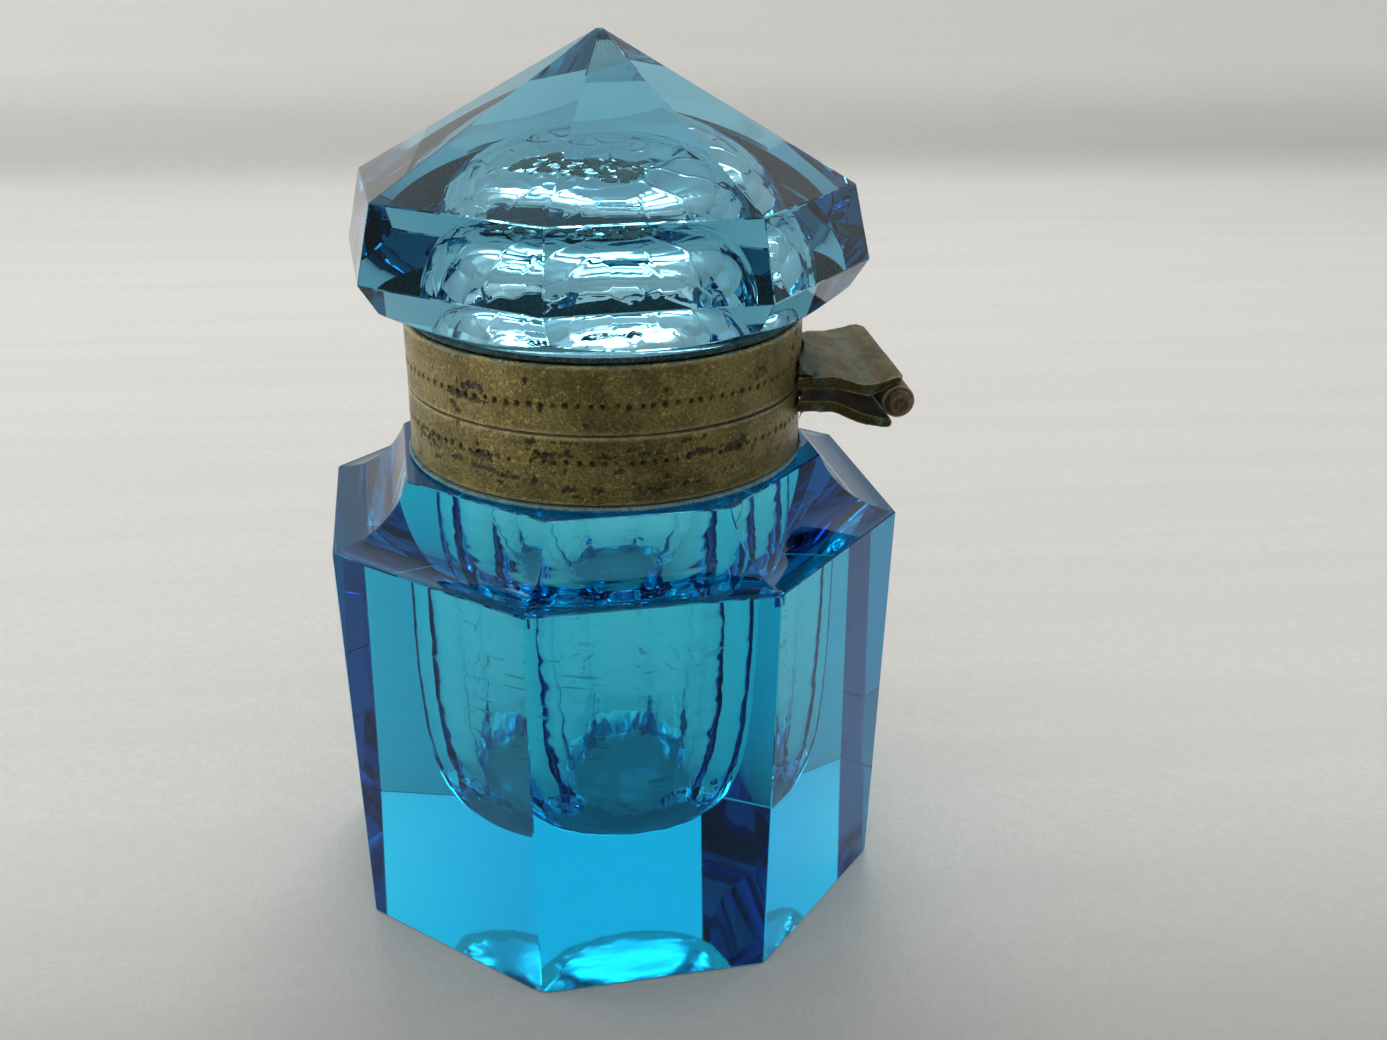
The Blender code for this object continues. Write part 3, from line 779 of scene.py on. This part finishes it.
def peen(obj):
    """Spreads the ends of the pin a little over the barrel."""
    points = points_of(obj)
    x = points[:, 0]
    ends = np.maximum(smooth(7.22, 7.42, x), smooth(-8.22, -8.42, x))
    rim = smooth(0.5, 0.95, from_pin(points))
    grow = 1 + 0.24 * ends
    points[:, 1] = PIN_Y + (points[:, 1] - PIN_Y) * grow
    points[:, 2] = PIN_Z + (points[:, 2] - PIN_Z) * grow
    points[:, 0] -= np.sign(x) * 0.18 * ends * rim
    put_points(obj, points)


def hinge_part(node, name, voxel, seed, waves, green=even_green, dark=0.0, wear=1.0,
               soften=2, reshape=None):
    obj = worked(node, name, voxel, seed, waves, soften)
    if reshape:
        reshape(obj)
    brass_marks(obj, seed + 1, green, dark, wear)
    return obj


# ------------------------------------------------------------------ materials
class Nodes:
    """Short calls for building a node tree."""

    def __init__(self, tree):
        self.tree = tree

    def put(self, socket, value):
        if isinstance(value, bpy.types.NodeSocket):
            self.tree.links.new(value, socket)
        else:
            socket.default_value = value

    def fill(self, node, **inputs):
        """Sets inputs by name, with _ for each space."""
        for name, value in inputs.items():
            self.put(node.inputs[name.replace("_", " ")], value)
        return node

    def new(self, kind, **inputs):
        return self.fill(self.tree.nodes.new("ShaderNode" + kind), **inputs)

    def axes(self, vector):
        return self.new("SeparateXYZ", Vector=vector).outputs

    def ramp(self, source, low, high, to_low=0.0, to_high=1.0):
        node = self.new("MapRange", Value=source, From_Min=low, From_Max=high,
                        To_Min=to_low, To_Max=to_high)
        node.interpolation_type = "SMOOTHSTEP"
        return node.outputs["Result"]

    def math(self, operation, *values, clamp=False):
        node = self.new("Math")
        node.operation = operation
        node.use_clamp = clamp
        for socket, value in zip(node.inputs, values):
            self.put(socket, value)
        return node.outputs[0]

    def plus(self, a, b, clamp=False):
        return self.math("ADD", a, b, clamp=clamp)

    def minus(self, a, b, clamp=False):
        return self.math("SUBTRACT", a, b, clamp=clamp)

    def times(self, a, b, clamp=False):
        return self.math("MULTIPLY", a, b, clamp=clamp)


class Material(Nodes):
    """A material whose textures are sized in millimetres."""

    def __init__(self, name):
        self.material = bpy.data.materials.new(name)
        self.material.use_nodes = True
        super().__init__(self.material.node_tree)
        scale = self.new("VectorMath")
        scale.operation = "SCALE"
        self.put(scale.inputs[0], self.new("TexCoord").outputs["Object"])
        self.fill(scale, Scale=1000.0)
        self.mm = scale.outputs[0]

    def surface(self, **values):
        self.fill(self.tree.nodes["Principled BSDF"], **values)

    def noise(self, size, detail=2.0, rough=0.5, stretch=None, distort=0.0, seed=0.0):
        vector = self.mm
        if stretch is not None or seed:
            mapping = self.new("Mapping", Vector=vector, Scale=stretch or (1, 1, 1),
                               Location=(seed, seed * 0.7, seed * 1.3))
            vector = mapping.outputs[0]
        node = self.new("TexNoise", Vector=vector, Scale=1.0 / size, Detail=detail,
                        Roughness=rough, Distortion=distort)
        return node.outputs["Fac"]

    def mix(self, share, a, b):
        node = self.new("Mix")
        node.data_type = "RGBA"
        for number, value in ((0, share), (6, a), (7, b)):
            self.put(node.inputs[number], (*value, 1.0) if isinstance(value, tuple) else value)
        return node.outputs[2]

    def attribute(self, name):
        node = self.new("Attribute")
        node.attribute_name = name
        return node.outputs["Fac"]

    def bump(self, height, distance_mm, strength):
        return self.new("Bump", Height=height, Distance=distance_mm * MM,
                        Strength=strength).outputs[0]


def glass(name, per_mm, smear=0.02):
    """Cut soda glass: tinted through its depth, with faint smears and hairline
    scratches on the surface. per_mm is what it absorbs of red, green, blue."""
    m = Material(name)
    veil = m.ramp(m.noise(size=5.0, detail=3.0, rough=0.6, distort=0.6), low=0.50, high=0.80)
    lines = m.ramp(m.noise(size=0.5, stretch=(0.05, 1.0, 1.0)), low=0.66, high=0.74)
    dust = m.ramp(m.noise(size=0.30, detail=1.0), low=0.76, high=0.84)
    ground = m.ramp(m.axes(m.mm)["Z"], low=0.03, high=0.01)
    thread = m.noise(size=1.0, detail=2.5, rough=0.55, stretch=(0.18, 0.18, 1.7), distort=0.5)
    residue = m.times(m.attribute("well"), m.ramp(thread, low=0.61, high=0.65))
    silt, stain = m.attribute("silt"), m.attribute("stain")

    # roughness added by each layer
    rough = m.times(veil, smear)
    rough = m.plus(rough, m.times(lines, smear * 0.6))
    rough = m.plus(rough, m.times(dust, smear * 1.2))
    rough = m.plus(rough, m.times(ground, 0.04))
    deposits = m.plus(m.times(stain, 0.16), m.times(silt, 0.22))
    rough = m.plus(rough, m.plus(m.times(residue, 0.25), deposits), clamp=True)

    colour = m.mix(dust, (1.0, 1.0, 1.0), (0.90, 0.93, 0.94))
    # layer, strength, colour
    for layer, strength, tint in (
        (residue, 0.70, (0.16, 0.15, 0.06)),
        (silt, 0.6, (0.40, 0.62, 0.68)),
        (stain, 0.65, (0.30, 0.30, 0.24)),
    ):
        colour = m.mix(m.times(layer, strength), colour, tint)
    m.surface(Base_Color=colour, Roughness=rough, IOR=1.52, Transmission_Weight=1.0,
              Specular_Tint=(0.45, 0.85, 1.0, 1.0))
    most = max(per_mm)
    absorb = m.new("VolumeAbsorption", Color=(*[1 - part / most for part in per_mm], 1.0),
                   Density=most * 1000)
    m.fill(m.tree.nodes["Material Output"], Volume=absorb.outputs[0])
    return m.material


def brass(name, base, dull, seed, rough):
    """Old brass: mottled olive film over warm metal, pale rubbed edges, brown
    to black pits and green salts, all on a finely etched grain."""
    m = Material(name)
    pit, edge, green = m.attribute("pit"), m.attribute("edge"), m.attribute("green")
    cloud = m.ramp(m.noise(size=3.4, detail=4.0, rough=0.6, seed=seed), low=0.36, high=0.66)
    grain = m.noise(size=0.20, detail=3.0, rough=0.65, seed=seed + 3)
    fleck = m.noise(size=0.34, detail=4.0, rough=0.75, seed=seed + 5)
    spots = m.noise(size=0.24, detail=4.0, rough=0.75, seed=seed + 9, distort=0.5)
    spots = m.ramp(spots, low=0.60, high=0.70)
    speckle = m.noise(size=0.26, detail=4.0, rough=0.8, seed=seed + 7)
    speckle = m.minus(1.0, m.ramp(speckle, low=0.40, high=0.62))

    dark_film = tuple(part * 0.38 for part in dull)
    bright = tuple(min(1.0, part * gain) for part, gain in zip(base, (2.1, 2.05, 1.9)))
    colour = m.mix(cloud, base, dull)
    # layer, strength, colour
    for layer, strength, tint in (
        (speckle, 0.55, dark_film),
        (m.ramp(fleck, low=0.52, high=0.68), 0.60, bright),
        (spots, 0.42, (0.050, 0.038, 0.018)),
        (edge, 0.80, (0.60, 0.50, 0.25)),
        # on the hoops this dark layer also holds painted shade along their joint
        (pit, 0.95, (0.012, 0.009, 0.005)),
    ):
        colour = m.mix(m.times(layer, strength), colour, tint)
    salt = m.times(green, m.ramp(grain, low=0.35, high=0.62), clamp=True)
    colour = m.mix(salt, colour, (0.13, 0.24, 0.19))

    # salts and pits are less metallic; film and salts rougher, rubbed edges smoother
    metal = m.minus(0.92, m.plus(m.times(salt, 0.9), m.times(pit, 0.8)), clamp=True)
    shine = m.plus(rough, m.plus(m.times(spots, 0.22), m.times(cloud, 0.10)))
    shine = m.plus(shine, m.minus(m.times(salt, 0.4), m.times(edge, 0.12)), clamp=True)
    grit = m.noise(size=0.11, rough=0.6, seed=seed + 13)
    relief = m.plus(grain, m.minus(m.times(grit, 0.7), m.times(spots, 0.5)))
    m.surface(Base_Color=colour, Metallic=metal, Roughness=shine,
              Normal=m.bump(relief, distance_mm=0.16, strength=1.0))
    return m.material


def earthy(name, colours, rough, size):
    """Crust or cement: two body colours and a third in small crumbs."""
    m = Material(name)
    body = m.noise(size, detail=4.0, rough=0.6)
    crumbs = m.new("TexVoronoi", Vector=m.mm, Scale=1.0 / (size * 0.5)).outputs["Distance"]
    colour = m.mix(m.ramp(body, low=0.35, high=0.65), colours[0], colours[1])
    colour = m.mix(m.ramp(m.noise(size * 0.35), low=0.56, high=0.70), colour, colours[2])
    relief = m.plus(body, m.times(crumbs, 0.5))
    m.surface(Base_Color=colour, Roughness=rough,
              Normal=m.bump(relief, distance_mm=0.05, strength=0.8))
    return m.material


def pale_cloth():
    m = Material("pale_cloth")
    weave = m.plus(
        m.noise(size=0.32, detail=1.0, rough=0.4, stretch=(1.0, 0.18, 1.0)),
        m.noise(size=0.32, detail=1.0, rough=0.4, stretch=(0.18, 1.0, 1.0), seed=4.0),
    )
    band = m.ramp(m.noise(size=9.0, stretch=(1.0, 0.06, 1.0)), low=0.4, high=0.62)
    threads = m.ramp(weave, low=0.7, high=1.3)
    colour = m.mix(threads, (0.755, 0.75, 0.722), (0.81, 0.805, 0.777))
    colour = m.mix(m.times(band, 0.35), colour, (0.725, 0.72, 0.697))
    place = m.axes(m.mm)
    # painted shade: the sheet darkens from the bend up, leaving a grey band along the bend below
    # the painted glow higher on the wall
    wall = m.times(m.ramp(place["Z"], low=0.5, high=10.0), 0.30)
    colour = m.mix(wall, colour, (0.50, 0.497, 0.48))
    # a soft shade on the table on the camera's side
    shade = m.times(m.ramp(place["X"], low=-8.0, high=78.0),
                    m.ramp(place["X"], low=360.0, high=190.0))
    beside = m.math("ABSOLUTE", place["Y"])
    shade = m.times(shade, m.ramp(beside, low=260.0, high=110.0))
    colour = m.mix(shade, colour, (0.34, 0.336, 0.322))
    m.surface(
        Base_Color=colour, Roughness=0.9, Specular_IOR_Level=0.15,
        Normal=m.bump(weave, distance_mm=0.05, strength=0.35),
        # painted light: the wall glows more from 5 to 40 mm up, though it is no lamp
        Emission_Color=(1.0, 0.985, 0.96, 1.0),
        Emission_Strength=m.ramp(place["Z"], low=5.0, high=40.0, to_high=0.20),
    )
    return m.material


# ----------------------------------------------------------------- the pieces
glass_body = make_body_glass()
lid_glass, lid_verts, lid_outer_count = make_lid_glass()
stain_crust = make_stain(lid_verts, lid_outer_count)
lower_hoop = make_hoop("collar_lower", LOWER_RING_BOX, dot_z=47.0, blobs=LOWER_BLOBS,
                       specks=30, seed=100, joint_above=True)
upper_hoop = make_hoop("collar_upper", UPPER_RING_BOX, dot_z=51.8, blobs=UPPER_BLOBS,
                       specks=16, seed=200, joint_above=False)
neck_bed = make_bed("cement_neck", NECK_BED, seed=301)
lid_bed = make_bed("cement_lid", LID_BED, seed=311)
upper_leaf = hinge_part("upper_hinge_leaf", "hinge_leaf_upper", voxel=0.13, seed=400,
                        waves=0.045, green=upper_leaf_green, wear=1.25)
lower_leaf = hinge_part("lower_hinge_leaf", "hinge_leaf_lower", voxel=0.13, seed=410,
                        waves=0.035, green=lower_leaf_green, dark=0.12)
front = hinge_part("front_knuckle", "knuckle_front", voxel=0.09, seed=420, waves=0.02,
                   green=front_green, dark=0.1)
middle, rear = (
    hinge_part(f"{place}_knuckle", f"knuckle_{place}", voxel=0.09, seed=seed, waves=0.02, dark=0.1)
    for place, seed in (("middle", 430), ("rear", 440))
)
pin = hinge_part("hinge_pin", "pin", voxel=0.085, seed=450, waves=0.018,
                 green=pin_green, wear=0.6, reshape=peen)
upper_bead = hinge_part("upper_solder", "solder_upper", voxel=0.10, seed=460, waves=0.06,
                        dark=0.05)
lower_bead = hinge_part("lower_solder", "solder_lower", voxel=0.08, seed=470, waves=0.04,
                        dark=0.05, soften=1)

blue = glass("blue_cut_glass", per_mm=(0.108, 0.0188, 0.0076))
pale = glass("pale_cut_glass", per_mm=(0.056, 0.0205, 0.0110))
ring_brass = brass("aged_brass_ring", base=(0.32, 0.262, 0.086),
                   dull=(0.165, 0.136, 0.046), seed=1.0, rough=0.20)
leaf_brass = brass("aged_brass_leaf", base=(0.118, 0.099, 0.033),
                   dull=(0.062, 0.053, 0.019), seed=11.0, rough=0.32)
pin_metal = brass("pin_brass_worn", base=(0.17, 0.115, 0.06),
                  dull=(0.11, 0.075, 0.042), seed=21.0, rough=0.42)
bead_metal = brass("dull_solder", base=(0.16, 0.18, 0.145),
                   dull=(0.10, 0.12, 0.10), seed=31.0, rough=0.55)
crust = earthy("dried_crust", rough=0.6, size=0.5,
               colours=((0.24, 0.25, 0.20), (0.13, 0.14, 0.105), (0.36, 0.37, 0.31)))
neck_cement = earthy("stained_cement", rough=0.8, size=0.8,
                     colours=((0.14, 0.29, 0.32), (0.26, 0.42, 0.42), (0.04, 0.09, 0.10)))
lid_cement = earthy("dark_cement", rough=0.75, size=0.7,
                    colours=((0.010, 0.035, 0.040), (0.03, 0.09, 0.095), (0.14, 0.26, 0.23)))

# object, material, moving body, CAD piece it replaces, material slot
for obj, material, body, node, slot in (
    (glass_body, blue, "bottle", "glass_body", "blue_glass"),
    (lid_glass, pale, "lid", "lid_glass", "pale_glass"),
    (stain_crust, crust, "lid", "lid_glass", "cement"),
    (lower_hoop, ring_brass, "bottle", "lower_collar", "aged_brass"),
    (upper_hoop, ring_brass, "lid", "upper_collar", "aged_brass"),
    (neck_bed, neck_cement, "bottle", "neck_cement", "cement"),
    (lid_bed, lid_cement, "lid", "lid_cement", "cement"),
    (upper_leaf, leaf_brass, "lid", "upper_hinge_leaf", "aged_brass"),
    (lower_leaf, leaf_brass, "bottle", "lower_hinge_leaf", "aged_brass"),
    (front, leaf_brass, "lid", "front_knuckle", "aged_brass"),
    (middle, leaf_brass, "bottle", "middle_knuckle", "aged_brass"),
    (rear, leaf_brass, "lid", "rear_knuckle", "aged_brass"),
    (pin, pin_metal, "bottle", "hinge_pin", "pin_brass"),
    (upper_bead, bead_metal, "lid", "upper_solder", "solder"),
    (lower_bead, bead_metal, "bottle", "lower_solder", "solder"),
):
    obj.data.materials.clear()
    obj.data.materials.append(material)
    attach(obj, body)
    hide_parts(node)


# -------------------------------------------------------- the studio, in metres
def make_sweep(wall_x=-0.40, wall_top=0.125, bend=0.05, half_width=2.0, drop=0.00006):
    """Table and low wall in one sheet, joined by a soft curve on the -X side."""
    line = [(x, 0.0) for x in (1.2, 0.4, 0.1, -0.1, wall_x + bend)]
    for k in range(1, 13):
        angle = math.pi / 2 * k / 12
        line.append((wall_x + bend - bend * math.sin(angle), bend * (1 - math.cos(angle))))
    line += [(wall_x, 0.08), (wall_x, wall_top)]
    verts = [(x, y, z - drop) for x, z in line for y in (-half_width, half_width)]
    faces = [(2 * i, 2 * i + 1, 2 * i + 3, 2 * i + 2) for i in range(len(line) - 1)]
    mesh = bpy.data.meshes.new("table_and_wall")
    mesh.from_pydata(verts, [], faces)
    mesh.shade_smooth()
    obj = link_new("table_and_wall", mesh)
    mesh.materials.append(pale_cloth())
    return obj


def make_world():
    """A soft room, lighter overhead and to -X, with a glowing band there."""
    world = bpy.data.worlds.new("soft_room")
    scene.world = world
    world.use_nodes = True
    world.node_tree.nodes.clear()
    w = Nodes(world.node_tree)
    way = w.axes(w.new("TexCoord").outputs["Generated"])
    overhead = w.ramp(way["Z"], low=0.05, high=0.95)
    behind = w.ramp(way["X"], low=0.55, high=-0.7)
    glow = w.times(w.ramp(way["Z"], low=0.50, high=0.58), w.ramp(way["Z"], low=0.79, high=0.70))
    glow = w.times(glow, w.ramp(way["X"], low=-0.42, high=-0.62))
    level = 0.25
    for part, strength in ((overhead, 0.30), (behind, 0.22), (glow, 0.48)):
        level = w.plus(level, w.times(part, strength))
    background = w.new("Background", Color=(1.0, 0.99, 0.975, 1.0), Strength=level)
    w.new("OutputWorld", Surface=background.outputs[0])


def softbox(name, at, size, power):
    """A rectangular light aimed at the middle of the bottle."""
    data = bpy.data.lights.new(name, "AREA")
    data.shape = "RECTANGLE"
    data.size, data.size_y = size
    data.energy = power
    data.color = (1.0, 0.98, 0.95)
    obj = bpy.data.objects.new(name, data)
    obj.location = at
    aim = Vector((0, 0, 0.04)) - Vector(at)
    obj.rotation_euler = aim.to_track_quat("-Z", "Y").to_euler()
    scene.collection.objects.link(obj)
    return obj


def make_camera(elevation, azimuth, target_mm, distance_mm, roll, lens):
    """A camera on +X, its direction in degrees and its roll in radians."""
    el, az = math.radians(elevation), math.radians(azimuth)
    back = Vector((math.cos(el) * math.cos(az), math.cos(el) * math.sin(az), math.sin(el)))
    right = (-back).cross(Vector((0, 0, 1))).normalized()
    up = right.cross(-back)
    cos, sin = math.cos(roll), math.sin(roll)
    right, up = right * cos + up * sin, up * cos - right * sin
    data = bpy.data.cameras.new("camera")
    data.lens = lens
    data.sensor_width = 36.0
    data.clip_start = 0.005
    data.clip_end = 20.0
    camera = link_new("camera", data)
    place = Vector(target_mm) * MM + back * distance_mm * MM
    rows = [(right[k], up[k], back[k], place[k]) for k in range(3)]
    camera.matrix_world = Matrix((*rows, (0, 0, 0, 1)))
    scene.camera = camera


make_sweep()
make_world()
softbox("window", at=(-0.455, 0.035, 0.555), size=(0.34, 0.19), power=1.15)
softbox("overhead", at=(0.02, -0.12, 0.85), size=(0.9, 0.9), power=0.3)
low_left = softbox("low_left", at=(-0.10, -0.44, 0.07), size=(0.26, 0.13), power=0.6)
low_left.visible_camera = False
make_camera(elevation=23.68, azimuth=-6.5, target_mm=(0.924, 8.107, 34.49),
            distance_mm=133.42, roll=0.0094, lens=36.30)

scene.view_settings.view_transform = "Standard"
cycles = scene.cycles
cycles.max_bounces = 24
cycles.transmission_bounces = 20
cycles.glossy_bounces = 12
cycles.diffuse_bounces = 3
cycles.sample_clamp_indirect = 6.0
